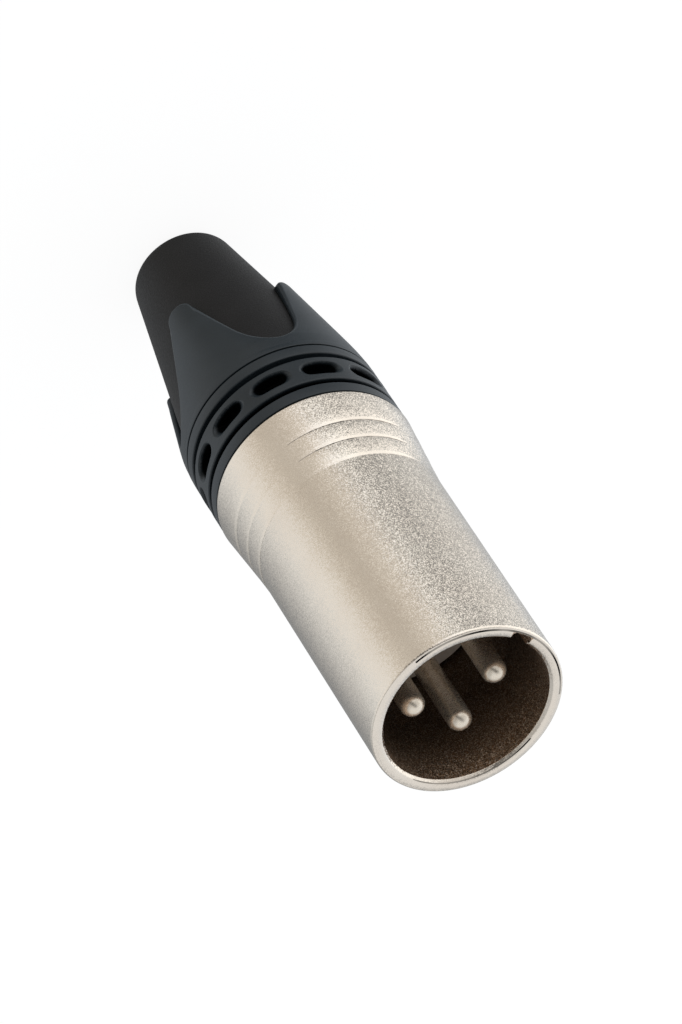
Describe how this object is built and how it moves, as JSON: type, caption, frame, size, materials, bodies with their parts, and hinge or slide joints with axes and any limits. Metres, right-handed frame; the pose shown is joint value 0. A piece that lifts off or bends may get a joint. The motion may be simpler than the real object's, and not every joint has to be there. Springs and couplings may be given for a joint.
{
  "type": "xlr cable plug",
  "caption": "Three-pin male circular audio cable plug with a metal shell, a collet cable clamp and a screw-on black boot.",
  "frame": {"origin": "centre of the plug's footprint, on the flat cable end of the boot that it stands on", "axes": "+Z runs along the plug's axis from the cable end to the mouth, +Y points to the side of the latch recess, and pins 1 and 2 lie along X"},
  "size_m": [0.0206, 0.0206, 0.0704],
  "materials": {
    "nickel_plate": "sandblasted satin nickel plate on die-cast zinc",
    "insert_plastic": "moulded warm grey, satin",
    "contact_plate": "silver-plated, bright",
    "spring_bronze": "bare bronze strip",
    "chuck_plastic": "natural white, slightly waxy",
    "ring_plastic": "fine matt blue-black",
    "bushing_plastic": "fine matt blue-black",
    "boot_rubber": "soft matt black"
  },
  "bodies": {
    "shell": {"shell": "nickel_plate", "insert": "insert_plastic", "pin_1": "contact_plate", "pin_2": "contact_plate", "pin_3": "contact_plate", "ground_contact": "spring_bronze"},
    "chuck": {"chuck": "chuck_plastic"},
    "bushing": {"bushing": "bushing_plastic", "coding_ring": "ring_plastic", "boot": "boot_rubber"}
  },
  "joints": [
    {"name": "chuck_slide", "type": "slide", "parent": "shell", "child": "chuck", "axis": [0, 0, -1], "range_m": [0, 0.006]},
    {"name": "bushing_turn", "type": "hinge", "parent": "chuck", "child": "bushing", "pos_m": [0, 0, 0.03], "axis": [0, 0, -1], "range_deg": [0, 1440]}
  ],
  "couplings": [
    {"joint": "chuck_slide", "follows": "bushing_turn", "m_per_rad": 0.00023873}
  ]
}
